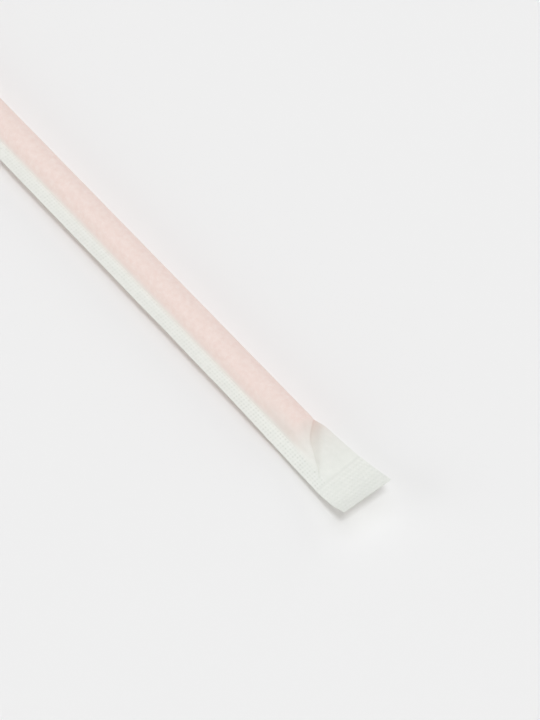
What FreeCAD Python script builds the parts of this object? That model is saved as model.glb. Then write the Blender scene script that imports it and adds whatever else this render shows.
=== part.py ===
import FreeCAD, Part
import math
import os
import Sketcher

# Wrapped drinking straw: a plastic tube sealed in one folded sheet of thin paper.
# Millimetres and degrees. +X runs along the straw towards the end that the eye meets
# first, the paper's long seal lies on the -Y side and +Z is up. The origin is on the
# floor under the middle of the whole pack.

Vec = FreeCAD.Vector
doc = FreeCAD.newDocument("WrappedStraw")

# Driving sizes
DIMS = [
    ("straw_length", 200.0, "cut length of the straw"),
    ("straw_od", 6.0, "outside diameter of the straw"),
    ("straw_wall", 0.2, "wall of the straw"),
    ("paper_ply", 0.1, "one thickness of paper"),
    ("sleeve_ease", 0.1, "radial room between straw and paper"),
    ("end_ease", 1.0, "room between the straw's cut end and the closing paper"),
    ("root_offset", 3.9, "straw axis to the root of the long seal"),
    ("fin_width", 3.0, "width of the long seal"),
    ("mid_droop", 2.0, "slope of the long seal half way along, degrees"),
    ("flatten_length", 12.3, "round sleeve to the start of the end seal"),
    ("seal_length", 11.0, "length of an end seal"),
    ("seal_rise", 14.0, "an end seal lifts off the floor by this angle"),
    ("seal_droop", 8.5, "cross slope of an end seal, degrees"),
    ("fold_shift", 5.2, "straw axis to the side fold where the seal starts"),
    ("fold_height", 1.3, "side fold above the straw axis where the seal starts"),
    ("room_margin", 1.0, "paper pressed together round the closed end of the sleeve"),
    ("seal_lap", 0.8, "end seal runs back into the flattened sleeve"),
    ("crimp_rows", 8, "crimp grooves across an end seal"),
    ("crimp_pitch", 1.15, "spacing of the crimp grooves"),
    ("crimp_start", 0.5, "seal's start to the first groove"),
    ("crimp_width", 0.45, "groove width"),
    ("crimp_depth", 0.07, "groove depth"),
]

sheet = doc.addObject("Spreadsheet::Sheet", "Dims")
for row, (alias, value, note) in enumerate(DIMS, start=1):
    sheet.set("A%d" % row, note)
    sheet.set("B%d" % row, str(value))
    sheet.setAlias("B%d" % row, alias)
doc.recompute()

# Sizes worked out from them
WORKED = [
    ("bore_radius", "=Dims.straw_od / 2 + Dims.sleeve_ease"),
    ("skin_radius", "=bore_radius + Dims.paper_ply"),
    ("fin_reach", "=Dims.root_offset + Dims.fin_width"),
    ("round_half", "=Dims.straw_length / 2 + Dims.end_ease"),
    # the long seal's lower corner meets the floor where the sleeve ends
    ("rest_droop", "=asin(skin_radius / sqrt(fin_reach ^ 2 + Dims.paper_ply ^ 2))"
                   " - atan(Dims.paper_ply / fin_reach)"),
    # where the straight sides leave the round part, and the point they close to inside
    ("wrap_angle", "=acos(skin_radius / Dims.root_offset)"),
    ("bore_tip", "=bore_radius / cos(atan(Dims.paper_ply / Dims.root_offset)"
                 " + acos(skin_radius / sqrt(Dims.root_offset ^ 2 + Dims.paper_ply ^ 2)))"),
    # the same paper laid flat, from the side fold to the edge of the long seal
    ("quarter_run", "=skin_radius * pi / 2"),
    ("arc_run", "=skin_radius * (180deg - wrap_angle) * pi / 180deg"),
    ("side_run", "=skin_radius * tan(wrap_angle)"),
    ("flat_reach", "=arc_run + side_run + Dims.fin_width"),
    # the flat ends are the widest part, so the origin is midway across them
    ("fold_y", "=flat_reach * cos(Dims.seal_droop * 1deg) / 2"),
    ("axis_y", "=fold_y - Dims.fold_shift"),
    ("axis_z", "=skin_radius"),
    ("fold_z", "=axis_z + Dims.fold_height"),
    ("seal_x", "=round_half + Dims.flatten_length"),
]

worked = doc.addObject("Spreadsheet::Sheet", "Worked")
for row, (alias, formula) in enumerate(WORKED, start=1):
    worked.set("A%d" % row, alias)
    worked.set("B%d" % row, formula)
    worked.setAlias("B%d" % row, alias)
doc.recompute()


def number(alias):
    """Value of a worked cell as a bare number, for a sketch's first guess."""
    value = worked.get(alias)
    return float(getattr(value, "Value", value))


# Sections of the sleeve. Each is drawn looking along the straw with its own x axis
# pointing at the long seal, so a section only has to be turned to let the seal droop.


def place_section(sketch, along, across, up, droop):
    """Stand the sketch across the straw and turn it down by droop."""
    sketch.setExpression(
        "Placement",
        "placement(vector(%s; %s; %s); rotation(-90; %s; 90))" % (along, across, up, droop),
    )


def bind(sketch, constraint, name, expression):
    """Add a sketch size that follows the sheets."""
    index = sketch.addConstraint(constraint)
    sketch.renameConstraint(index, name)
    sketch.setExpression("Constraints." + name, expression)


def chain(sketch, corners, first):
    """Straight edges through the corners, the first edge numbered first."""
    for start, end in zip(corners, corners[1:]):
        sketch.addGeometry(Part.LineSegment(start, end), False)
    for edge in range(first, first + len(corners) - 2):
        sketch.addConstraint(Sketcher.Constraint("Coincident", edge, 2, edge + 1, 1))


def wrap_arcs(sketch, r, lean):
    """Four arcs about the straw, numbered from 0, that meet above it, at the side fold
    opposite the long seal, and below it."""
    circle = Part.Circle(Vec(0, 0, 0), Vec(0, 0, 1), r)
    turns = [lean, math.pi / 2, math.pi, 3 * math.pi / 2, 2 * math.pi - lean]
    for start, end in zip(turns, turns[1:]):
        sketch.addGeometry(Part.ArcOfCircle(circle, start, end), False)
    for arc in range(4):
        sketch.addConstraint(Sketcher.Constraint("Coincident", arc, 3, -1, 1))
    for arc in range(3):
        sketch.addConstraint(Sketcher.Constraint("Coincident", arc, 2, arc + 1, 1))
    sketch.addConstraint(Sketcher.Constraint("PointOnObject", 0, 2, -2))
    sketch.addConstraint(Sketcher.Constraint("PointOnObject", 1, 2, -1))
    sketch.addConstraint(Sketcher.Constraint("PointOnObject", 2, 2, -2))


def skin_section(name):
    """Outside of the paper: round over the straw, straight to the root, flat seal."""
    sketch = doc.addObject("Sketcher::SketchObject", name)
    r = number("skin_radius")
    d = float(sheet.root_offset)
    p = float(sheet.paper_ply)
    f = float(sheet.fin_width)
    lean = math.atan2(p, d) + math.acos(r / math.hypot(d, p))
    touch = Vec(r * math.cos(lean), r * math.sin(lean), 0)
    under = Vec(touch.x, -touch.y, 0)
    wrap_arcs(sketch, r, lean)
    chain(sketch, [under, Vec(d, -p, 0), Vec(d + f, -p, 0), Vec(d + f, p, 0), Vec(d, p, 0),
                   touch], 4)
    sketch.addConstraint(Sketcher.Constraint("Tangent", 3, 2, 4, 1))
    sketch.addConstraint(Sketcher.Constraint("Tangent", 0, 1, 8, 2))
    sketch.addConstraint(Sketcher.Constraint("Horizontal", 5))
    sketch.addConstraint(Sketcher.Constraint("Symmetric", 4, 2, 7, 2, -1))
    sketch.addConstraint(Sketcher.Constraint("Symmetric", 5, 2, 6, 2, -1))
    bind(sketch, Sketcher.Constraint("Radius", 0, r), "wrap", "Worked.skin_radius")
    bind(sketch, Sketcher.Constraint("DistanceX", -1, 1, 4, 2, d), "root", "Dims.root_offset")
    bind(sketch, Sketcher.Constraint("DistanceX", 5, 1, 5, 2, f), "fin", "Dims.fin_width")
    bind(sketch, Sketcher.Constraint("DistanceY", 6, 1, 6, 2, 2 * p), "plies",
         "2 * Dims.paper_ply")
    return sketch


def bore_section(name):
    """Inside of the paper: round over the straw and straight to a point at the root."""
    sketch = doc.addObject("Sketcher::SketchObject", name)
    r = number("bore_radius")
    d = number("bore_tip")
    lean = math.acos(r / d)
    touch = Vec(r * math.cos(lean), r * math.sin(lean), 0)
    under = Vec(touch.x, -touch.y, 0)
    wrap_arcs(sketch, r, lean)
    chain(sketch, [under, Vec(d, 0, 0), touch], 4)
    sketch.addConstraint(Sketcher.Constraint("Tangent", 3, 2, 4, 1))
    sketch.addConstraint(Sketcher.Constraint("Tangent", 0, 1, 5, 2))
    sketch.addConstraint(Sketcher.Constraint("PointOnObject", 4, 2, -1))
    bind(sketch, Sketcher.Constraint("Radius", 0, r), "wrap", "Worked.bore_radius")
    bind(sketch, Sketcher.Constraint("DistanceX", -1, 1, 4, 2, d), "tip", "Worked.bore_tip")
    return sketch


def flat_section(name, half, half_expression, start, start_expression, with_fin):
    """Section pressed flat: the arcs of the round one are laid out straight. Its own
    origin is at the side fold, its edges pair off with the round section's."""
    sketch = doc.addObject("Sketcher::SketchObject", name)
    quarter = number("quarter_run")
    arc_end = number("arc_run")
    root = arc_end + number("side_run")
    upper = [Vec(arc_end, half, 0), Vec(quarter, half, 0)]
    lower = [Vec(quarter, -half, 0), Vec(arc_end, -half, 0)]
    if with_fin:
        tip = root + float(sheet.fin_width)
        far = [Vec(root, -half, 0), Vec(tip, -half, 0), Vec(tip, half, 0), Vec(root, half, 0)]
    else:
        far = [Vec(root, 0, 0)]
    chain(sketch, upper + [Vec(start, 0, 0)] + lower + far + upper[:1], 0)
    last = len(far) + 4
    sketch.addConstraint(Sketcher.Constraint("Coincident", last, 2, 0, 1))
    sketch.addConstraint(Sketcher.Constraint("PointOnObject", 1, 2, -1))
    sketch.addConstraint(Sketcher.Constraint("Symmetric", 0, 1, 3, 2, -1))
    sketch.addConstraint(Sketcher.Constraint("Symmetric", 0, 2, 2, 2, -1))
    sketch.addConstraint(Sketcher.Constraint("Horizontal", 0))
    bind(sketch, Sketcher.Constraint("DistanceX", -1, 1, 1, 2, start), "start",
         start_expression)
    bind(sketch, Sketcher.Constraint("DistanceX", -1, 1, 0, 2, quarter), "quarter",
         "Worked.quarter_run")
    bind(sketch, Sketcher.Constraint("DistanceX", -1, 1, 0, 1, arc_end), "arc",
         "Worked.arc_run")
    bind(sketch, Sketcher.Constraint("DistanceY", 3, 2, 0, 1, 2 * half), "thick",
         "2 * " + half_expression)
    bind(sketch, Sketcher.Constraint("DistanceX", -1, 1, 4, 2, root), "root",
         "Worked.arc_run + Worked.side_run")
    if with_fin:
        sketch.addConstraint(Sketcher.Constraint("Symmetric", 4, 2, 7, 2, -1))
        sketch.addConstraint(Sketcher.Constraint("Symmetric", 5, 2, 6, 2, -1))
        sketch.addConstraint(Sketcher.Constraint("Horizontal", 4))
        sketch.addConstraint(Sketcher.Constraint("Horizontal", 5))
        bind(sketch, Sketcher.Constraint("DistanceX", 5, 1, 5, 2, tip - root), "fin",
             "Dims.fin_width")
    else:
        sketch.addConstraint(Sketcher.Constraint("PointOnObject", 4, 2, -1))
    return sketch


# The straw: a plain drawn tube, resting in the round part of the sleeve
straw = doc.addObject("PartDesign::Body", "straw")
straw.Label = "straw"
straw.setExpression(
    "Placement",
    "placement(vector(-Dims.straw_length / 2; Worked.axis_y; Worked.axis_z);"
    " rotation(90; 0; 90))",
)
ring = straw.newObject("Sketcher::SketchObject", "StrawRing")
plane = [f for f in straw.Origin.OriginFeatures if f.Role == "XY_Plane"][0]
ring.AttachmentSupport = [(plane, "")]
ring.MapMode = "FlatFace"
outer = float(sheet.straw_od) / 2
inner = outer - float(sheet.straw_wall)
ring.addGeometry(Part.Circle(Vec(0, 0, 0), Vec(0, 0, 1), outer), False)
ring.addGeometry(Part.Circle(Vec(0, 0, 0), Vec(0, 0, 1), inner), False)
ring.addConstraint(Sketcher.Constraint("Coincident", 0, 3, -1, 1))
ring.addConstraint(Sketcher.Constraint("Coincident", 1, 3, -1, 1))
bind(ring, Sketcher.Constraint("Radius", 0, outer), "outside", "Dims.straw_od / 2")
bind(ring, Sketcher.Constraint("Radius", 1, inner), "inside",
     "Dims.straw_od / 2 - Dims.straw_wall")
tube = straw.newObject("PartDesign::Pad", "StrawTube")
tube.Profile = ring
tube.setExpression("Length", "Dims.straw_length")

# The sleeve twists on the straw: its seal is nearly level half way along and comes
# down to the floor at both ends. Stations are shares of the half length.
TWIST_STATIONS = (-1.0, -0.94, -0.86, -0.75, -0.55, 0.0, 0.55, 0.75, 0.86, 0.94, 1.0)
TWIST_POWER = 6

skins = []
bores = []
for count, share in enumerate(TWIST_STATIONS):
    along = "%g * Worked.round_half" % share
    droop = "Dims.mid_droop * 1deg + (Worked.rest_droop - Dims.mid_droop * 1deg) * %g" % (
        abs(share) ** TWIST_POWER)
    skin = skin_section("SkinSection%d" % count)
    bore = bore_section("BoreSection%d" % count)
    for sketch in (skin, bore):
        place_section(sketch, along, "Worked.axis_y", "Worked.axis_z", droop)
    skins.append(skin)
    bores.append(bore)

# Where the end seal starts the sleeve is flat. The room inside closes a little sooner.
flat_skin = flat_section("FlatSkin", float(sheet.paper_ply), "Dims.paper_ply", 0.0, "0", True)
flat_bore = flat_section("FlatBore", float(sheet.paper_ply) / 2, "(Dims.paper_ply / 2)",
                         float(sheet.room_margin), "Dims.room_margin", False)
place_section(flat_skin, "Worked.seal_x", "Worked.fold_y", "Worked.fold_z",
              "Dims.seal_droop * 1deg")
place_section(flat_bore, "Worked.seal_x - Dims.room_margin", "Worked.fold_y",
              "Worked.fold_z", "Dims.seal_droop * 1deg")


def loft(name, sections):
    """Solid ruled from each closed section to the next."""
    body = doc.addObject("Part::Loft", name)
    body.Sections = sections
    body.Solid = True
    body.Ruled = True
    return body


round_skin = loft("RoundSkin", skins)
round_bore = loft("RoundBore", bores)
neck_skin = loft("NeckSkin", [skins[-1], flat_skin])
neck_bore = loft("NeckBore", [bores[-1], flat_bore])

# End seal: two plies pressed flat, with crimp grooves across them
seal = doc.addObject("PartDesign::Body", "EndSeal")
seal.setExpression(
    "Placement",
    "placement(vector(Worked.seal_x; Worked.fold_y; Worked.fold_z);"
    " rotation(0; -Dims.seal_rise; Dims.seal_droop))",
)
seal_plane = [f for f in seal.Origin.OriginFeatures if f.Role == "XY_Plane"][0]
side_plane = [f for f in seal.Origin.OriginFeatures if f.Role == "XZ_Plane"][0]
long_axis = [f for f in seal.Origin.OriginFeatures if f.Role == "X_Axis"][0]

blank = seal.newObject("Sketcher::SketchObject", "SealBlank")
blank.AttachmentSupport = [(seal_plane, "")]
blank.MapMode = "FlatFace"
lap = float(sheet.seal_lap)
run = float(sheet.seal_length)
reach = number("flat_reach")
blank_corners = [Vec(-lap, -reach, 0), Vec(run, -reach, 0), Vec(run, 0, 0), Vec(-lap, 0, 0)]
for start, end in zip(blank_corners, blank_corners[1:] + blank_corners[:1]):
    blank.addGeometry(Part.LineSegment(start, end), False)
for edge in range(4):
    blank.addConstraint(Sketcher.Constraint("Coincident", edge, 2, (edge + 1) % 4, 1))
for edge in (0, 2):
    blank.addConstraint(Sketcher.Constraint("Horizontal", edge))
for edge in (1, 3):
    blank.addConstraint(Sketcher.Constraint("Vertical", edge))
blank.addConstraint(Sketcher.Constraint("PointOnObject", 2, 1, -1))
bind(blank, Sketcher.Constraint("DistanceX", 0, 1, -1, 1, lap), "lap", "Dims.seal_lap")
bind(blank, Sketcher.Constraint("DistanceX", -1, 1, 0, 2, run), "run", "Dims.seal_length")
bind(blank, Sketcher.Constraint("DistanceY", 0, 1, -1, 1, reach), "reach", "Worked.flat_reach")
plies = seal.newObject("PartDesign::Pad", "SealPlies")
plies.Profile = blank
plies.Midplane = True
plies.setExpression("Length", "2 * Dims.paper_ply")


def crimp(name, side):
    """One V groove across the seal, cut from its upper or lower side, and its row."""
    groove = seal.newObject("Sketcher::SketchObject", name + "Groove")
    groove.AttachmentSupport = [(side_plane, "")]
    groove.MapMode = "FlatFace"
    ply = float(sheet.paper_ply)
    depth = float(sheet.crimp_depth)
    half = float(sheet.crimp_width) / 2
    middle = float(sheet.crimp_start) + half
    points = [Vec(middle - half, side * ply, 0), Vec(middle, side * (ply - depth), 0),
              Vec(middle + half, side * ply, 0)]
    for start, end in zip(points, points[1:] + points[:1]):
        groove.addGeometry(Part.LineSegment(start, end), False)
    for edge in range(3):
        groove.addConstraint(Sketcher.Constraint("Coincident", edge, 2, (edge + 1) % 3, 1))
    groove.addConstraint(Sketcher.Constraint("Horizontal", 2))
    groove.addConstraint(Sketcher.Constraint("Equal", 0, 1))
    bind(groove, Sketcher.Constraint("DistanceX", -1, 1, 0, 1, middle - half), "start",
         "Dims.crimp_start")
    bind(groove, Sketcher.Constraint("DistanceX", 0, 1, 1, 2, 2 * half), "width",
         "Dims.crimp_width")
    if side > 0:
        bind(groove, Sketcher.Constraint("DistanceY", -1, 1, 0, 1, ply), "face",
             "Dims.paper_ply")
        bind(groove, Sketcher.Constraint("DistanceY", 0, 2, 0, 1, depth), "depth",
             "Dims.crimp_depth")
    else:
        bind(groove, Sketcher.Constraint("DistanceY", 0, 1, -1, 1, ply), "face",
             "Dims.paper_ply")
        bind(groove, Sketcher.Constraint("DistanceY", 0, 1, 0, 2, depth), "depth",
             "Dims.crimp_depth")
    cut = seal.newObject("PartDesign::Pocket", name + "Cut")
    cut.Profile = groove
    cut.Midplane = True
    cut.setExpression("Length", "3 * Worked.flat_reach")
    doc.recompute()
    row = seal.newObject("PartDesign::LinearPattern", name + "Row")
    row.Originals = [cut]
    row.Direction = (long_axis, [""])
    row.setExpression("Length", "(Dims.crimp_rows - 1) * Dims.crimp_pitch")
    row.setExpression("Occurrences", "Dims.crimp_rows")
    seal.Tip = row
    doc.recompute()
    return row


crimp("Upper", 1)
crimp("Lower", -1)
doc.recompute()


def mirrored(name, source):
    """The same shape at the other end of the pack."""
    twin = doc.addObject("Part::Mirroring", name)
    twin.Source = source
    twin.Base = Vec(0, 0, 0)
    twin.Normal = Vec(1, 0, 0)
    return twin


# One folded sheet: everything outside, less the room for the straw
outside = doc.addObject("Part::MultiFuse", "PaperOutside")
outside.Shapes = [round_skin, neck_skin, seal, mirrored("FarNeckSkin", neck_skin),
                  mirrored("FarSeal", seal)]
room = doc.addObject("Part::MultiFuse", "StrawRoom")
room.Shapes = [round_bore, neck_bore, mirrored("FarNeckBore", neck_bore)]
paper = doc.addObject("Part::Cut", "paper_wrapper")
paper.Label = "paper_wrapper"
paper.Base = outside
paper.Tool = room
doc.recompute()

# Write each piece once everything in the document is sound
for item in doc.Objects:
    faults = [word for word in item.State if word in ("Invalid", "Error")]
    if faults:
        raise RuntimeError("%s is %s" % (item.Name, ", ".join(faults)))

os.makedirs("parts", exist_ok=True)
for piece in (straw, paper):
    shape = piece.Shape
    if shape.isNull() or not shape.isValid() or len(shape.Solids) != 1:
        raise RuntimeError("%s has no sound solid" % piece.Label)
    box = shape.BoundBox
    print("%s volume %.2f faces %d x %.2f..%.2f y %.2f..%.2f z %.3f..%.2f" % (
        piece.Label, shape.Volume, len(shape.Faces), box.XMin, box.XMax, box.YMin, box.YMax,
        box.ZMin, box.ZMax))
    shape.exportStep("parts/%s.step" % piece.Label)
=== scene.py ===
import math

import bmesh
import bpy
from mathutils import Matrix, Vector, noise


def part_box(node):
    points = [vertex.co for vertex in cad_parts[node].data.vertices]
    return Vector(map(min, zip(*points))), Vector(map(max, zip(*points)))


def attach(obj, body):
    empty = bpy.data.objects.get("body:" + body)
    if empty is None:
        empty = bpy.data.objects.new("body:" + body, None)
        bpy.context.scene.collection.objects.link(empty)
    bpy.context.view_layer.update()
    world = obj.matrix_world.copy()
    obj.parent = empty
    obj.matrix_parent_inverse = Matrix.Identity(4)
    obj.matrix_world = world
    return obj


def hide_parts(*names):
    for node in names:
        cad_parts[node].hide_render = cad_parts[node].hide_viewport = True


# Wrapped drinking straw. One flat sheet of thin paper is folded round the plastic tube,
# pressed together along its side and closed flat at both ends. Lengths here are in
# millimetres and become metres where a mesh is made.

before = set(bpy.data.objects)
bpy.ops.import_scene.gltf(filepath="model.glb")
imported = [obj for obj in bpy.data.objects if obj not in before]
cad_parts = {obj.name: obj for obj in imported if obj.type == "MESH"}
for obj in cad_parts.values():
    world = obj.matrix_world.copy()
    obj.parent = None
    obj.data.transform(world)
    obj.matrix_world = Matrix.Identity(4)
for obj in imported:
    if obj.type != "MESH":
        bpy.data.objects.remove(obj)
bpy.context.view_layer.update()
MM = 0.001

# The tube inside
straw_low, straw_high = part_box("straw")
STRAW_END = straw_high.x / MM
AXIS_Y = (straw_low.y + straw_high.y) / 2 / MM
AXIS_Z = (straw_low.z + straw_high.z) / 2 / MM
STRAW_RADIUS = (straw_high.y - straw_low.y) / 2 / MM

# The paper round it: middle of the sheet, root of the long seal, edge of the seal
WRAP_RADIUS = 3.15
ROOT_OFFSET = 3.87
FIN_WIDTH = 3.03
PAPER = 0.05
PLY_GAP = 0.036
PLIES_PART = 0.4
LOWEST = 0.6 * PAPER
TOP_HEIGHT = 6.0
MID_DROOP = math.radians(2.0)
END_DROOP = math.radians(13.0)
DROOP_POWER = 9
ROUND_HALF = 101.0

WRAP_TURN = math.acos(WRAP_RADIUS / ROOT_OFFSET)
ARC_RUN = WRAP_RADIUS * (math.pi - WRAP_TURN)
ROOT_RUN = ARC_RUN + WRAP_RADIUS * math.tan(WRAP_TURN)
EDGE_RUN = ROOT_RUN + FIN_WIDTH

# The flat sheet: rows along the straw and columns across it
BODY_HALF = 99.8
BODY_ROWS = 480
NECK_RUN = 13.5
NECK_ROWS = 68
FLAP_RUN = 11.0
FLAP_ROWS = 44
END_ROWS = NECK_ROWS + FLAP_ROWS
ROWS = BODY_ROWS + 2 * END_ROWS
OVER_COLUMNS = 32
UNDER_COLUMNS = 16
FIN_COLUMNS = 9
COLUMNS = OVER_COLUMNS + UNDER_COLUMNS + 2 * FIN_COLUMNS
SEAL_START = BODY_HALF + NECK_RUN

# Where the sleeve closes: the spare paper of the upper ply lies in one pleat, from its
# valley line to its ridge line
START_X = 97.25
RIM_X = 100.25
PLEAT_END = 10.8
VALLEY = [
    (0.0, (100.5, 4.13, 4.5)),
    (0.175, (101.53, 3.07, 4.85)),
    (0.30, (102.55, 1.95, 4.75)),
    (0.40, (103.34, 1.09, 4.55)),
    (0.50, (104.48, 0.23, 4.2)),
    (0.58, (105.8, -0.35, 3.85)),
    (0.75, (108.18, -1.35, 3.2)),
    (0.855, (109.7, -2.02, 2.75)),
]
RIDGE = [
    (0.0, (103.21, 5.1, 4.15)),
    (0.093, (104.35, 4.05, 4.75)),
    (0.24, (105.69, 2.85, 5.25)),
    (0.355, (107.0, 1.84, 5.4)),
    (0.45, (108.08, 1.03, 5.3)),
    (0.56, (109.11, 0.09, 4.9)),
    (0.735, (110.12, -1.22, 4.1)),
    (0.861, (110.85, -2.17, 3.4)),
]
VALLEY_SHARE = 0.86
RIDGE_SHARE = 0.89

# The flat end: where its seal starts, where it bends up, and where it is cut off
SEAL_FOLD = Vector((113.45, 6.0, 3.9))
SEAL_EDGE = Vector((114.32, -6.03, 2.7))
FLAP_FOLD = Vector((120.0, 6.15, 5.45))
FLAP_EDGE = Vector((120.1, -6.3, 4.0))
CUT_FOLD = Vector((124.0, 6.0, 7.08))
CUT_EDGE = Vector((124.15, -6.5, 6.45))

# How softly the paper turns at each of these lines
SOFT = {"start": 1.0, "rim": 0.8, "valley": 0.3, "ridge": 0.5, "flat": 1.0, "seal": 1.2,
        "flap": 2.0, "cut": 0.3}
ROUNDING = ((-1, 1), (-0.5, 2), (0, 3), (0.5, 2), (1, 1))

# Waves of the paper, read from noise: their height, their steps along or across the sheet,
# where in the noise they are read, and where they grow or fade
SKIN_WAVE = 0.035
SKIN_ALONG = 0.11
SKIN_ACROSS = 0.35
SKIN_SEED = 3.0
SKIN_REST = 0.3
FIN_WAVE = 0.10
FIN_WAVE_ALONG = 0.09
FIN_WAVE_SPOT = (7.0, 1.0)
FIN_WAVE_FADES = (80.0, 98.0)
RUFFLE = 0.09
RUFFLE_ALONG = 0.45
RUFFLE_SPOT = (2.0, 5.0)
RUFFLE_GROWS = (70.0, 90.0)
END_WAVE = 0.16
END_WAVE_ALONG = 0.16
END_WAVE_ACROSS = 0.22
END_WAVE_GROWS = (0.0, 0.25)
NEAR_END_SEED = 11.0
FAR_END_SEED = 31.0
CUT_WAVE = 0.07
CUT_WAVE_ACROSS = 0.8
CUT_WAVE_SPOT = (4.0, 9.0)

# Before the straw's end the paper lifts off it, on the side of the long seal; it is painted
# paler there, partly for that gap and partly as painted light on that shaded side
SLACK_ALONG = (86.0, 99.0)
SLACK_ACROSS = (4.5, 8.5)
LIFT = 0.10
LIFT_FADES = (7.5, 10.1)

# How far behind the paper the straw's colour still shows
SHOW_DEPTH = 0.8
GLOW_DEPTH = 2.5
SNUG_GAP = 0.15
# paler paper on the seal's side near the end: partly paper lifted off the straw, partly painted
# light on that shaded side
SLACK_AND_PAINTED_LIGHT_GAP = 1.1
PAST_END_GAP = 0.6
SHOW_STOPS = (ROOT_RUN - 1.6, ROOT_RUN + 0.9)

# Painted shade in the pleat, partly for the paper lying over itself there: it fades towards the
# ridge, with a painted dark line of its own in the valley
SHADE_MIDDLE = 0.45
SHADE_PAST = 0.5
SHADE_STARTS = (-0.3, 0.1)
VALLEY_SHADE = 0.35
VALLEY_SHADE_HALF = 0.6
FOLD_SHADE = 0.6
FOLD_SHADE_RUN = 2.5
EDGE_SHADE = 0.5
EDGE_SHADE_RUN = 9.5

# Dots pressed into the seals. The fin's rows run along the straw and the flap's across it.
DOTS_ALONG = 240
DOT_PITCH = 2 * BODY_HALF / DOTS_ALONG
DOT_GAP = 0.674
FIN_EARLY = 0.02
FIN_LAST_ROW = 3.6
FIN_FAINT = 0.6
FIN_CLEARER = (70.0, 96.0)
ROW_PITCH = 1.25
ROW_GAP = 0.85
ROW_START = 0.25
LAST_ROW = 8.4
DOT_REACH = 0.29
DOT_DEPTH = 0.035
GROOVE_ROW = 0.15
GROOVE_DEPTH = 0.05
STAGGER = 0.5

# Creases sharper than this are shaded as folds
CREASE_ANGLE = math.radians(50)

# Share of the lamps' light that crosses one face of the paper and of the straw's wall
PAPER_PASSES = (0.69, 0.67, 0.65)
STRAW_PASSES = (0.98, 0.64, 0.62)


def clamp(value):
    return min(1.0, max(0.0, value))


def ease(low, high, value):
    """0 below low, 1 above high, smooth between."""
    t = clamp((value - low) / (high - low))
    return t * t * (3 - 2 * t)


def wave(along, across, seed):
    return noise.noise(Vector((along, across, seed)))


def through(stops, t):
    """Smooth curve through (key, point) stops."""
    t = min(stops[-1][0], max(stops[0][0], t))
    spot = 0
    while spot < len(stops) - 2 and t > stops[spot + 1][0]:
        spot += 1
    (k1, p1), (k2, p2) = stops[spot], stops[spot + 1]
    k0, p0 = stops[max(spot - 1, 0)]
    k3, p3 = stops[min(spot + 2, len(stops) - 1)]
    p0, p1, p2, p3 = Vector(p0), Vector(p1), Vector(p2), Vector(p3)
    step = k2 - k1
    s = (t - k1) / step
    m1 = (p2 - p0) * (step / (k2 - k0))
    m2 = (p3 - p1) * (step / (k3 - k1))
    return (p1 * (2 * s ** 3 - 3 * s ** 2 + 1) + m1 * (s ** 3 - 2 * s ** 2 + s)
            + p2 * (3 * s ** 2 - 2 * s ** 3) + m2 * (s ** 3 - s ** 2))


def droop_at(x):
    share = min(1.0, abs(x) / ROUND_HALF)
    return MID_DROOP + (END_DROOP - MID_DROOP) * share ** DROOP_POWER


def round_point(x, run):
    """The sheet round the straw. run is the way across it from the far side, plus over
    the top and minus underneath."""
    side = 1.0 if run >= 0 else -1.0
    way = abs(run)
    if way < ARC_RUN:
        turn = math.pi - way / WRAP_RADIUS
        out, up = WRAP_RADIUS * math.cos(turn), WRAP_RADIUS * math.sin(turn)
    elif way < ROOT_RUN:
        t = (way - ARC_RUN) / (ROOT_RUN - ARC_RUN)
        out = WRAP_RADIUS * math.cos(WRAP_TURN) * (1 - t) + ROOT_OFFSET * t
        up = WRAP_RADIUS * math.sin(WRAP_TURN) * (1 - t) + PLY_GAP * t
    else:
        out, up = ROOT_OFFSET + way - ROOT_RUN, PLY_GAP
    up *= side
    droop = droop_at(x)
    return Vector((x, AXIS_Y - out * math.cos(droop) - up * math.sin(droop),
                   AXIS_Z - out * math.sin(droop) + up * math.cos(droop)))


def flat_point(fold, edge, run):
    """A point across the pressed end, between its fold and its outer edge."""
    share = abs(run) / EDGE_RUN
    side = 1.0 if run >= 0 else -1.0
    point = fold.lerp(edge, share)
    return point + Vector((0, 0, side * PLY_GAP * clamp(abs(run) / PLIES_PART)))


def column_path(run):
    """Corners that one column of the sheet passes from the round part to the cut, and how
    softly it turns at each."""
    over = run >= 0
    start = round_point(START_X, run)
    rim = round_point(RIM_X if over else ROUND_HALF, run)
    seal = flat_point(SEAL_FOLD, SEAL_EDGE, run)
    flap = flat_point(FLAP_FOLD, FLAP_EDGE, run)
    cut = flat_point(CUT_FOLD, CUT_EDGE, run)
    path = [(start, SOFT["start"]), (rim, SOFT["rim"])]
    if over and run < PLEAT_END:
        share = run / PLEAT_END
        last_rim = round_point(RIM_X, PLEAT_END)
        last_seal = flat_point(SEAL_FOLD, SEAL_EDGE, PLEAT_END)
        valley_end = (1.0, last_rim.lerp(last_seal, VALLEY_SHARE))
        ridge_end = (1.0, last_rim.lerp(last_seal, RIDGE_SHARE))
        path.append((through(VALLEY + [valley_end], share), SOFT["valley"]))
        path.append((through(RIDGE + [ridge_end], share), SOFT["ridge"]))
    else:
        path.append((rim.lerp(seal, VALLEY_SHARE), SOFT["flat"]))
        path.append((rim.lerp(seal, RIDGE_SHARE), SOFT["flat"]))
    return path + [(seal, SOFT["seal"]), (flap, SOFT["flap"]), (cut, SOFT["cut"])]


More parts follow.
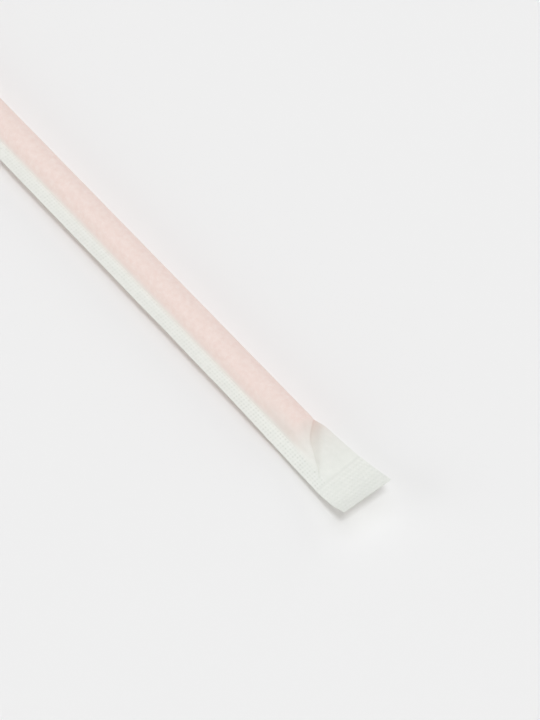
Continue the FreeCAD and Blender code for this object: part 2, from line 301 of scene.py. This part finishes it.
class Column:
    """One column of the sheet beyond the round part, measured along its own length."""

    def __init__(self, run):
        self.path = column_path(run)
        self.pleated = 0 <= run < PLEAT_END
        self.marks = [0.0]
        for (one, _), (two, _) in zip(self.path, self.path[1:]):
            self.marks.append(self.marks[-1] + (two - one).length)
        self.rim = self.marks[1] - (RIM_X - BODY_HALF)
        self.valley, self.ridge, self.seal = self.marks[2:5]
        self.cut = self.marks[6] + CUT_WAVE * wave(run * CUT_WAVE_ACROSS, *CUT_WAVE_SPOT)

    def straight(self, way):
        spot = 0
        while spot < len(self.marks) - 2 and way > self.marks[spot + 1]:
            spot += 1
        t = (way - self.marks[spot]) / (self.marks[spot + 1] - self.marks[spot])
        return self.path[spot][0].lerp(self.path[spot + 1][0], t)

    def way(self, share, in_flap):
        if in_flap:
            return self.seal + (self.cut - self.seal) * share
        return self.rim + (self.seal - self.rim) * share

    def overlap(self, way):
        """Painted shade in the pleat between valley and ridge, partly for paper lying over
        itself, with a painted dark line along the valley.
        """
        if not self.pleated:
            return 0.0
        middle = self.valley + SHADE_MIDDLE * (self.ridge - self.valley)
        fades = 1 - ease(middle, self.ridge + SHADE_PAST, way)
        line = VALLEY_SHADE * (1 - ease(0.0, VALLEY_SHADE_HALF, abs(way - self.valley)))
        early, late = SHADE_STARTS
        return ease(self.valley + early, self.valley + late, way) * fades + line

    def point(self, way):
        near = min(range(len(self.marks)), key=lambda k: abs(self.marks[k] - way))
        soft = self.path[near][1]
        total = Vector()
        for offset, weight in ROUNDING:
            total += self.straight(way + offset * soft) * weight
        return total / sum(weight for _, weight in ROUNDING)


def new_object(name, mesh_maker):
    mesh = bpy.data.meshes.new(name)
    mesh_maker.to_mesh(mesh)
    mesh_maker.free()
    obj = bpy.data.objects.new(name, mesh)
    bpy.context.scene.collection.objects.link(obj)
    return obj


def row_place(row):
    """Flat place along the sheet of a row of the grid: (place, share, zone)."""
    sign = 1.0
    if row < END_ROWS:
        sign, steps = -1.0, END_ROWS - row
    elif row > ROWS - END_ROWS:
        steps = row - (ROWS - END_ROWS)
    else:
        return -BODY_HALF + (row - END_ROWS) * 2 * BODY_HALF / BODY_ROWS, 0.0, "body"
    if steps <= NECK_ROWS:
        share = steps / NECK_ROWS
        return sign * (BODY_HALF + NECK_RUN * share), share, "neck"
    share = (steps - NECK_ROWS) / FLAP_ROWS
    return sign * (SEAL_START + FLAP_RUN * share), share, "flap"


def column_run(column):
    """Flat place across the sheet of a column of the grid."""
    steps = column - UNDER_COLUMNS - FIN_COLUMNS
    side, round_columns = (1.0, OVER_COLUMNS) if steps >= 0 else (-1.0, UNDER_COLUMNS)
    steps = abs(steps)
    if steps <= round_columns:
        return side * ROOT_RUN * steps / round_columns
    return side * (ROOT_RUN + FIN_WIDTH * (steps - round_columns) / FIN_COLUMNS)


def slack_at(place, run):
    return ease(*SLACK_ALONG, abs(place)) * ease(*SLACK_ACROSS, run)


def body_waves(point, place, run):
    """Round part of the sheet: loose skin on the straw, and an edge that isn't straight."""
    lift = slack_at(place, run) * (1 - ease(*LIFT_FADES, run))
    skin = wave(place * SKIN_ALONG, run * SKIN_ACROSS, SKIN_SEED)
    radial = Vector((0, point.y - AXIS_Y, point.z - AXIS_Z)).normalized()
    point += radial * (LIFT * lift + SKIN_WAVE * (skin + SKIN_REST))
    if abs(run) > ROOT_RUN:
        out = (abs(run) - ROOT_RUN) / FIN_WIDTH
        long_wave = FIN_WAVE * wave(place * FIN_WAVE_ALONG, *FIN_WAVE_SPOT)
        point.z += long_wave * out * (1 - ease(*FIN_WAVE_FADES, abs(place)))
        ruffle = RUFFLE * wave(place * RUFFLE_ALONG, *RUFFLE_SPOT)
        point.z += ruffle * out * ease(*RUFFLE_GROWS, abs(place))


def end_waves(point, place, run, share, zone):
    """Closed part of the sheet: it isn't quite flat."""
    seed = NEAR_END_SEED if place > 0 else FAR_END_SEED
    grown = ease(*END_WAVE_GROWS, share) if zone == "neck" else 1.0
    end_wave = wave(place * END_WAVE_ALONG, run * END_WAVE_ACROSS, seed)
    point.z += END_WAVE * end_wave * grown


def bent_point(place, run, share, zone, column):
    """Where the folds take a point of the flat sheet, before its waves."""
    if zone == "body":
        return round_point(place, run)
    point = column.point(column.way(share, zone == "flap"))
    point.x = math.copysign(point.x, place)
    return point


def pleat_shade(run, share, zone, column):
    """How much painted shade the paper has in the pleat, partly for where it lies over itself.
    """
    if zone == "body":
        return 0.0
    grows = FOLD_SHADE + (1 - FOLD_SHADE) * ease(0.0, FOLD_SHADE_RUN, run)
    fades = 1 - EDGE_SHADE * ease(FOLD_SHADE_RUN, EDGE_SHADE_RUN, run)
    return column.overlap(column.way(share, zone == "flap")) * grows * fades


def straw_gap(point, reach, place, run):
    """How far the coloured straw lies behind a point of the paper, further on the seal's side
    near the end, where the paler colour is partly slack paper and partly painted light.
    """
    off = max(0.0, reach - STRAW_RADIUS - SNUG_GAP) + SLACK_AND_PAINTED_LIGHT_GAP * slack_at(place, run)
    past = max(0.0, abs(point.x) - STRAW_END)
    return math.hypot(off, past * PAST_END_GAP)


def fin_dot_cell(place, run, zone):
    """Dots counted along and across the long seal, and how clear they are here."""
    along = (place + BODY_HALF) / DOT_PITCH
    across = (abs(run) - ROOT_RUN) / DOT_GAP - 0.5
    clear = 0.0
    if abs(run) > ROOT_RUN - FIN_EARLY and across < FIN_LAST_ROW and zone != "flap":
        clear = FIN_FAINT + (1 - FIN_FAINT) * ease(*FIN_CLEARER, abs(place))
    return Vector((along, across, clear))


def seal_dot_cell(place, run, zone):
    """Dots counted along and across the pressed end, and whether there are any here."""
    rank = (abs(place) - SEAL_START - ROW_START) / ROW_PITCH
    return Vector((rank, run / ROW_GAP, 1.0 if zone == "flap" and rank < LAST_ROW else 0.0))


def dot_press(cell, pitch, gap, stagger):
    """1 at the middle of a dot and 0 away from it."""
    row = round(cell.x)
    across = cell.y - (stagger if row % 2 else 0.0)
    off = math.hypot((cell.x - row) * pitch, (across - round(across)) * gap)
    return 1 - ease(0.0, DOT_REACH, off)


def press_depth(fin_cell, seal_cell):
    """How deep the seals' dots and groove are pressed here."""
    if seal_cell.z and seal_cell.x < GROOVE_ROW:
        return GROOVE_DEPTH
    if seal_cell.z:
        return DOT_DEPTH * dot_press(seal_cell, ROW_PITCH, ROW_GAP, STAGGER)
    if fin_cell.z:
        return DOT_DEPTH * dot_press(fin_cell, DOT_PITCH, DOT_GAP, 0.0)
    return 0.0


def face_outwards(sheet):
    """Turn the sheet so that the top of its round part faces up."""
    bmesh.ops.recalc_face_normals(sheet, faces=sheet.faces)
    sheet.normal_update()
    upward = 0.0
    for face in sheet.faces:
        middle = face.calc_center_median()
        if middle.z > TOP_HEIGHT and abs(middle.x) < SLACK_ALONG[0]:
            upward += face.normal.z
    if upward < 0:
        bmesh.ops.reverse_faces(sheet, faces=sheet.faces)
        sheet.normal_update()


def thicken(sleeve):
    """Give the sheet its thickness, and hard shading at its creases."""
    thickness = sleeve.modifiers.new("thickness", "SOLIDIFY")
    thickness.thickness = PAPER * MM
    thickness.offset = 0.0
    graph = bpy.context.evaluated_depsgraph_get()
    thick = bpy.data.meshes.new_from_object(
        sleeve.evaluated_get(graph), preserve_all_data_layers=True, depsgraph=graph)
    sleeve.modifiers.clear()
    sleeve.data = thick
    thick.name = "paper_sleeve"
    thick.set_sharp_from_angle(angle=CREASE_ANGLE)


def make_sleeve():
    """The whole wrapper as one sheet, with what its material reads at each point."""
    sheet = bmesh.new()
    bmesh.ops.create_grid(sheet, x_segments=ROWS, y_segments=COLUMNS, size=1.0)
    layers = sheet.verts.layers
    fin_layer = layers.float_vector.new("fin_dots")
    seal_layer = layers.float_vector.new("seal_dots")
    flat = layers.float_vector.new("sheet")
    closeness = layers.float.new("closeness")
    glow = layers.float.new("glow")
    pleat = layers.float.new("pleat")
    beyond = [Column(column_run(number)) for number in range(COLUMNS + 1)]
    presses = []
    for vert in sheet.verts:
        row = round((vert.co.x + 1) / 2 * ROWS)
        number = round((vert.co.y + 1) / 2 * COLUMNS)
        place, share, zone = row_place(row)
        run = column_run(number)
        point = bent_point(place, run, share, zone, beyond[number])
        reach = math.hypot(point.y - AXIS_Y, point.z - AXIS_Z)
        if zone == "body":
            body_waves(point, place, run)
        else:
            end_waves(point, place, run, share, zone)
        point.z = max(point.z, LOWEST)
        vert.co = point
        gap = straw_gap(point, reach, place, run)
        shows = 1 - ease(*SHOW_STOPS, abs(run))
        vert[closeness] = math.exp(-gap / SHOW_DEPTH) * shows
        vert[glow] = math.exp(-gap / GLOW_DEPTH) * shows
        vert[pleat] = pleat_shade(run, share, zone, beyond[number])
        vert[flat] = Vector((place, run, 0.0))
        vert[fin_layer] = fin_dot_cell(place, run, zone)
        vert[seal_layer] = seal_dot_cell(place, run, zone)
        depth = press_depth(vert[fin_layer], vert[seal_layer])
        if depth:
            presses.append((vert, depth if run >= 0 else -depth))
    face_outwards(sheet)
    moves = [(vert, vert.normal.copy() * -depth) for vert, depth in presses]
    for vert, move in moves:
        vert.co += move
    for vert in sheet.verts:
        vert.co *= MM
    for face in sheet.faces:
        face.smooth = True
    sleeve = new_object("paper_sleeve", sheet)
    thicken(sleeve)
    return sleeve


# Colours of the paper. A pair is the darker and the lighter part of its clouds.
PAPER_WHITE = ((0.805, 0.824, 0.788), (0.84, 0.856, 0.823))
PAPER_PINK = ((0.84, 0.712, 0.665), (0.885, 0.787, 0.747))
WARM_WHITE = (0.82, 0.73, 0.68)
PINK_GRAIN = (0.84, 0.68, 0.615)
PALE_FIBRE = (0.91, 0.83, 0.79)
# Painted shade in the pleat, partly for the paper lying over itself; warmer where the straw is
# near
PLEAT_SHADE = (0.90, 0.905, 0.89)
WARM_SHADE = (0.89, 0.80, 0.78)
# Painted shade in the pressed dots and groove, partly the crushed paper's own darker tone
PIT_SHADE_GREY = (0.60, 0.62, 0.58)
# Painted highlight on the raised paper between the dots
RAISED_HIGHLIGHT = (0.92, 0.93, 0.90)
GRAIN_SHARE = 0.35
FIBRE_SHARE = 0.16
FIBRE_WIDTH = 0.02

# Noise over the flat sheet: scale and detail, stretch and turn of the two sets of fibres,
# and the band of its values that is spread over a pair
CLOUD_NOISE = (0.8, 5.0)
GRAIN_NOISE = (2.2, 4.0)
FIBRES = (((0.5, 2.4, 1), 0.5), ((2.0, 0.45, 1), 0.35))
NOISE_BAND = (0.3, 0.7)
GRAIN_BAND = (0.4, 0.75)

# How strongly dots, the specks between them and the groove show: as relief, as painted shade in
# the dots and groove, and as a painted highlight on the specks
FIN_DOTS = 0.32
SEAL_DOTS = 0.16
UNEVEN_DOTS = (0.35, 1.35)
DOT_FLOOR = 0.25
FIN_SPECK_HIGHLIGHT = 0.22
FIN_SPECK_REACH = 0.26
FIN_SPECK_SHIFT = (0.5, 0.5, 0.0)
SEAL_SPECK_HIGHLIGHT = 0.30
SEAL_SPECK_REACH = 0.36
SEAL_SPECK_SHIFT = (0.5, 0.25, 0.0)
GROOVE = 0.13
GROOVE_MIDDLE = SEAL_START + 0.1
GROOVE_SIDES = (0.1, 0.45)

# Relief and finish of the paper, and the share of light that it spreads behind it
PRESSED_HEIGHT = -3.0
GRAIN_HEIGHT = 0.30
FIBRE_HEIGHT = 0.10
PAPER_BUMP = (0.6, 0.00004)
PAPER_SPECULAR = 0.25
PAPER_ROUGHNESS = (0.72, 0.86)
PAPER_THROUGH = 0.12

# The straw's plastic
CORAL = ((0.70, 0.12, 0.09), (0.76, 0.16, 0.12))
CORAL_ROUGHNESS = (0.22, 0.38)
DIE_LINES = (900.0, 2.0, (0.01, 1, 1))
CORAL_PATCHES = (60.0, 3.0)
DIE_BUMP = (0.3, 0.00002)


def link(tree, source, target):
    tree.links.new(source, target)


def node(tree, kind, **settings):
    made = tree.nodes.new(kind)
    for name, value in settings.items():
        setattr(made, name, value)
    return made


def fill(tree, socket, value):
    """Link a socket to another's output, or set it to a number or a colour."""
    if isinstance(value, (int, float)):
        socket.default_value = value
    elif isinstance(value, tuple):
        socket.default_value = value + (1.0,)
    else:
        link(tree, value, socket)


def math_node(tree, operation, first, second=None):
    made = node(tree, "ShaderNodeMath", operation=operation)
    fill(tree, made.inputs[0], first)
    if second is not None:
        fill(tree, made.inputs[1], second)
    return made.outputs[0]


def range_node(tree, value, low, high, to_low=0.0, to_high=1.0, smooth=False):
    made = node(tree, "ShaderNodeMapRange")
    if smooth:
        made.interpolation_type = "SMOOTHSTEP"
    link(tree, value, made.inputs["Value"])
    for name, number in (("From Min", low), ("From Max", high), ("To Min", to_low),
                         ("To Max", to_high)):
        made.inputs[name].default_value = number
    return made.outputs["Result"]


def mix_colour(tree, factor, first, second, blend="MIX"):
    made = node(tree, "ShaderNodeMix", data_type="RGBA", blend_type=blend)
    for spot, value in ((0, factor), (6, first), (7, second)):
        fill(tree, made.inputs[spot], value)
    return made.outputs[2]


def attribute(tree, name):
    return node(tree, "ShaderNodeAttribute", attribute_name=name)


def bump_node(tree, height, strength, distance):
    made = node(tree, "ShaderNodeBump")
    made.inputs["Strength"].default_value = strength
    made.inputs["Distance"].default_value = distance
    link(tree, height, made.inputs["Height"])
    return made.outputs["Normal"]


def noise_node(tree, vector, scale, detail, stretch=None, turn=0.0):
    made = node(tree, "ShaderNodeTexNoise")
    made.inputs["Scale"].default_value = scale
    made.inputs["Detail"].default_value = detail
    if stretch:
        mapping = node(tree, "ShaderNodeMapping")
        mapping.inputs["Scale"].default_value = stretch
        mapping.inputs["Rotation"].default_value = (0, 0, turn)
        link(tree, vector, mapping.inputs["Vector"])
        vector = mapping.outputs["Vector"]
    link(tree, vector, made.inputs["Vector"])
    return made.outputs["Fac"]


def new_material(name):
    material = bpy.data.materials.new(name)
    material.use_nodes = True
    material.node_tree.nodes.clear()
    return material


def dots_group():
    """Round dots pressed at whole numbers of a counted pattern."""
    tree = bpy.data.node_groups.new("pressed dots", "ShaderNodeTree")
    tree.interface.new_socket("Count", in_out="INPUT", socket_type="NodeSocketVector")
    for name in ("Pitch", "Gap", "Stagger", "Reach", "Strength"):
        tree.interface.new_socket(name, in_out="INPUT", socket_type="NodeSocketFloat")
    tree.interface.new_socket("Dots", in_out="OUTPUT", socket_type="NodeSocketFloat")
    into = node(tree, "NodeGroupInput").outputs
    out = node(tree, "NodeGroupOutput")
    parts = node(tree, "ShaderNodeSeparateXYZ")
    link(tree, into["Count"], parts.inputs[0])
    row = math_node(tree, "ROUND", parts.outputs["X"])
    along = math_node(tree, "SUBTRACT", parts.outputs["X"], row)
    along = math_node(tree, "MULTIPLY", along, into["Pitch"])
    odd = math_node(tree, "PINGPONG", row, 1.0)
    across = math_node(tree, "SUBTRACT", parts.outputs["Y"],
                       math_node(tree, "MULTIPLY", odd, into["Stagger"]))
    column = math_node(tree, "ROUND", across)
    across = math_node(tree, "SUBTRACT", across, column)
    across = math_node(tree, "MULTIPLY", across, into["Gap"])
    square = math_node(tree, "ADD", math_node(tree, "MULTIPLY", along, along),
                       math_node(tree, "MULTIPLY", across, across))
    off = math_node(tree, "DIVIDE", math_node(tree, "SQRT", square), into["Reach"])
    shape = range_node(tree, off, DOT_FLOOR, 1.0, 1.0, 0.0, smooth=True)
    masked = math_node(tree, "MULTIPLY", shape, parts.outputs["Z"])
    # every dot is pressed a little differently
    number = node(tree, "ShaderNodeCombineXYZ")
    link(tree, row, number.inputs["X"])
    link(tree, column, number.inputs["Y"])
    chance = node(tree, "ShaderNodeTexWhiteNoise", noise_dimensions="2D")
    link(tree, number.outputs[0], chance.inputs["Vector"])
    uneven = range_node(tree, chance.outputs["Value"], 0.0, 1.0, *UNEVEN_DOTS)
    masked = math_node(tree, "MULTIPLY", masked, uneven)
    masked = math_node(tree, "MULTIPLY", masked, into["Strength"])
    link(tree, masked, out.inputs["Dots"])
    return tree


def dots(tree, group, name, reach, strength, shift=(0.0, 0.0, 0.0)):
    """Dots of the fin or of the seal, or the raised specks between them that get a painted
    highlight.
    """
    fin = name == "fin_dots"
    made = node(tree, "ShaderNodeGroup")
    made.node_tree = group
    count = node(tree, "ShaderNodeVectorMath", operation="ADD")
    link(tree, attribute(tree, name).outputs["Vector"], count.inputs[0])
    count.inputs[1].default_value = shift
    link(tree, count.outputs[0], made.inputs["Count"])
    for socket, value in (("Pitch", DOT_PITCH if fin else ROW_PITCH),
                          ("Gap", DOT_GAP if fin else ROW_GAP),
                          ("Stagger", 0.0 if fin else STAGGER),
                          ("Reach", reach), ("Strength", strength)):
        made.inputs[socket].default_value = value
    return made.outputs["Dots"]


def fibre_lines(tree, flat, stretch, turn):
    """Thin lines where a stretched noise passes its middle."""
    value = noise_node(tree, flat, 1.0, 1.0, stretch, turn)
    off = math_node(tree, "ABSOLUTE", math_node(tree, "SUBTRACT", value, 0.5))
    return range_node(tree, off, 0.0, FIBRE_WIDTH, 1.0, 0.0, smooth=True)


def seal_marks(tree, flat):
    """Masks of what the seals press into the paper, which also gets painted shade, and of what
    stands up between, which gets a painted highlight.
    """
    group = dots_group()
    fin_dots = dots(tree, group, "fin_dots", DOT_REACH, FIN_DOTS)
    seal_dots = dots(tree, group, "seal_dots", DOT_REACH, SEAL_DOTS)
    seal_speck_highlights = dots(tree, group, "seal_dots", SEAL_SPECK_REACH, SEAL_SPECK_HIGHLIGHT,
                       SEAL_SPECK_SHIFT)
    fin_speck_highlights = dots(tree, group, "fin_dots", FIN_SPECK_REACH, FIN_SPECK_HIGHLIGHT, FIN_SPECK_SHIFT)
    parts = node(tree, "ShaderNodeSeparateXYZ")
    link(tree, flat, parts.inputs[0])
    off = math_node(tree, "SUBTRACT", math_node(tree, "ABSOLUTE", parts.outputs["X"]),
                    GROOVE_MIDDLE)
    groove = range_node(tree, math_node(tree, "ABSOLUTE", off), *GROOVE_SIDES, GROOVE, 0.0,
                        smooth=True)
    pressed = math_node(tree, "MAXIMUM", math_node(tree, "MAXIMUM", fin_dots, seal_dots), groove)
    return pressed, math_node(tree, "MAXIMUM", seal_speck_highlights, fin_speck_highlights)


def paper_colour(tree, cloud, grain, fibres, pressed, speck_highlight):
    """White paper, pink where the straw lies behind it and warm round that, with painted shade
    in the pleat and in the pressed dots and groove, and a painted highlight between the dots.
    """
    close = attribute(tree, "closeness").outputs["Fac"]
    glow = attribute(tree, "glow").outputs["Fac"]
    overlap = attribute(tree, "pleat").outputs["Fac"]
    white = mix_colour(tree, range_node(tree, cloud, *NOISE_BAND), *PAPER_WHITE)
    white = mix_colour(tree, glow, white, WARM_WHITE)
    pink = mix_colour(tree, range_node(tree, cloud, *NOISE_BAND), *PAPER_PINK)
    grainy = range_node(tree, grain, *GRAIN_BAND, 0.0, GRAIN_SHARE)
    pink = mix_colour(tree, grainy, pink, PINK_GRAIN)
    pink = mix_colour(tree, math_node(tree, "MULTIPLY", fibres, FIBRE_SHARE), pink, PALE_FIBRE)
    colour = mix_colour(tree, close, white, pink)
    # painted shade in the pleat and along its valley
    shade = mix_colour(tree, glow, PLEAT_SHADE, WARM_SHADE)
    colour = mix_colour(tree, overlap, colour, shade, "MULTIPLY")
    # painted shade in the pressed dots and groove, then a painted highlight on the raised specks
    colour = mix_colour(tree, pressed, colour, PIT_SHADE_GREY)
    return mix_colour(tree, speck_highlight, colour, RAISED_HIGHLIGHT)


def lamp_light_passes(tree, surface, share):
    """Let part of the lamps' light through the surface, once for each face it crosses."""
    clear = node(tree, "ShaderNodeBsdfTransparent")
    clear.inputs["Color"].default_value = share + (1.0,)
    passing = node(tree, "ShaderNodeMixShader")
    link(tree, node(tree, "ShaderNodeLightPath").outputs["Is Shadow Ray"], passing.inputs[0])
    link(tree, surface, passing.inputs[1])
    link(tree, clear.outputs[0], passing.inputs[2])
    out = node(tree, "ShaderNodeOutputMaterial")
    link(tree, passing.outputs[0], out.inputs["Surface"])


def tissue_paper():
    """Thin cloudy white paper that the coloured straw shows through."""
    material = new_material("tissue paper")
    tree = material.node_tree
    flat = attribute(tree, "sheet").outputs["Vector"]
    cloud = noise_node(tree, flat, *CLOUD_NOISE)
    grain = noise_node(tree, flat, *GRAIN_NOISE)
    fibres = math_node(tree, "MAXIMUM", *(fibre_lines(tree, flat, *lie) for lie in FIBRES))
    pressed, speck_highlight = seal_marks(tree, flat)
    colour = paper_colour(tree, cloud, grain, fibres, pressed, speck_highlight)

    height = math_node(tree, "MULTIPLY", pressed, PRESSED_HEIGHT)
    height = math_node(tree, "ADD", height, math_node(tree, "MULTIPLY", grain, GRAIN_HEIGHT))
    height = math_node(tree, "ADD", height, math_node(tree, "MULTIPLY", fibres, FIBRE_HEIGHT))
    normal = bump_node(tree, height, *PAPER_BUMP)

    face = node(tree, "ShaderNodeBsdfPrincipled")
    face.inputs["Specular IOR Level"].default_value = PAPER_SPECULAR
    link(tree, colour, face.inputs["Base Color"])
    link(tree, range_node(tree, grain, *NOISE_BAND, *PAPER_ROUGHNESS), face.inputs["Roughness"])
    link(tree, normal, face.inputs["Normal"])
    through_light = node(tree, "ShaderNodeBsdfTranslucent")
    link(tree, colour, through_light.inputs["Color"])
    both = node(tree, "ShaderNodeMixShader")
    both.inputs["Fac"].default_value = PAPER_THROUGH
    link(tree, face.outputs[0], both.inputs[1])
    link(tree, through_light.outputs[0], both.inputs[2])
    lamp_light_passes(tree, both.outputs[0], PAPER_PASSES)
    return material


def straw_plastic():
    """Coral plastic drawn lengthwise, with faint die lines."""
    material = new_material("coral straw plastic")
    tree = material.node_tree
    place = node(tree, "ShaderNodeTexCoord").outputs["Object"]
    lines = noise_node(tree, place, *DIE_LINES)
    patches = noise_node(tree, place, *CORAL_PATCHES)
    face = node(tree, "ShaderNodeBsdfPrincipled")
    colour = mix_colour(tree, range_node(tree, patches, *NOISE_BAND), *CORAL)
    link(tree, colour, face.inputs["Base Color"])
    link(tree, range_node(tree, lines, *NOISE_BAND, *CORAL_ROUGHNESS), face.inputs["Roughness"])
    link(tree, bump_node(tree, lines, *DIE_BUMP), face.inputs["Normal"])
    lamp_light_passes(tree, face.outputs[0], STRAW_PASSES)
    return material


# The pieces
sleeve = make_sleeve()
sleeve.data.materials.append(tissue_paper())
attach(sleeve, "root")
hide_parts("paper_wrapper")

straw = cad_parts["straw"]
straw.data.materials.clear()
straw.data.materials.append(straw_plastic())

# Pale matt floor
FLOOR_GREY = 0.863
FLOOR_ROUGHNESS = 0.9
FLOOR_HALF = 3.0
floor_mesh = bmesh.new()
bmesh.ops.create_grid(floor_mesh, x_segments=1, y_segments=1, size=FLOOR_HALF)
floor = new_object("floor", floor_mesh)
paint = bpy.data.materials.new("pale floor")
paint.use_nodes = True
paint_face = paint.node_tree.nodes["Principled BSDF"]
paint_face.inputs["Base Color"].default_value = (FLOOR_GREY, FLOOR_GREY, FLOOR_GREY, 1)
paint_face.inputs["Roughness"].default_value = FLOOR_ROUGHNESS
paint_face.inputs["Specular IOR Level"].default_value = 0.0
floor.data.materials.append(paint)

# Light: name, direction to the lamp, its spread in degrees, and the share that it adds on
# the floor. The even white surround adds the rest.
AMBIENT = 0.265
LAMPS = [
    ("soft lamp", (0.36, -0.15, 1.0), 15, 0.38),
    ("wide lamp", (-0.1, 0.2, 1.0), 54, 0.22),
    ("side fill", (-0.35, -0.9, 0.22), 45, 0.075),
    ("far fill", (0.1, 0.9, 0.25), 45, 0.06),
]
for name, direction, spread, share in LAMPS:
    to_lamp = Vector(direction).normalized()
    lamp_data = bpy.data.lights.new(name, "SUN")
    lamp_data.energy = share * math.pi / to_lamp.z
    lamp_data.angle = math.radians(spread)
    lamp = bpy.data.objects.new(name, lamp_data)
    lamp.rotation_euler = to_lamp.to_track_quat("Z", "Y").to_euler()
    lamp.location = to_lamp
    bpy.context.scene.collection.objects.link(lamp)

world = bpy.data.worlds.new("white surround")
bpy.context.scene.world = world
world.use_nodes = True
sky = world.node_tree.nodes["Background"]
sky.inputs["Color"].default_value = (1, 1, 1, 1)
sky.inputs["Strength"].default_value = AMBIENT
bpy.context.scene.view_settings.view_transform = "Standard"

# Camera of the photograph: azimuth, elevation and distance from the point it looks at
AZIMUTH = math.radians(52.106)
ELEVATION = math.radians(52.583)
DISTANCE = 814.35
LOOK_AT = Vector((81.638, 7.302, 3.0))
FOCAL_PIXELS = 3826.4
PICTURE_HEIGHT = 720
SENSOR = 24.0
CLIP_START = 0.01
back = Vector((math.sin(AZIMUTH) * math.cos(ELEVATION),
               -math.cos(AZIMUTH) * math.cos(ELEVATION), math.sin(ELEVATION)))
camera_data = bpy.data.cameras.new("camera")
camera_data.sensor_fit = "VERTICAL"
camera_data.sensor_height = SENSOR
camera_data.lens = FOCAL_PIXELS / PICTURE_HEIGHT * SENSOR
camera_data.clip_start = CLIP_START
camera = bpy.data.objects.new("camera", camera_data)
camera.location = (LOOK_AT + back * DISTANCE) * MM
camera.rotation_euler = back.to_track_quat("Z", "Y").to_euler()
bpy.context.scene.collection.objects.link(camera)
bpy.context.scene.camera = camera

bpy.context.view_layer.update()
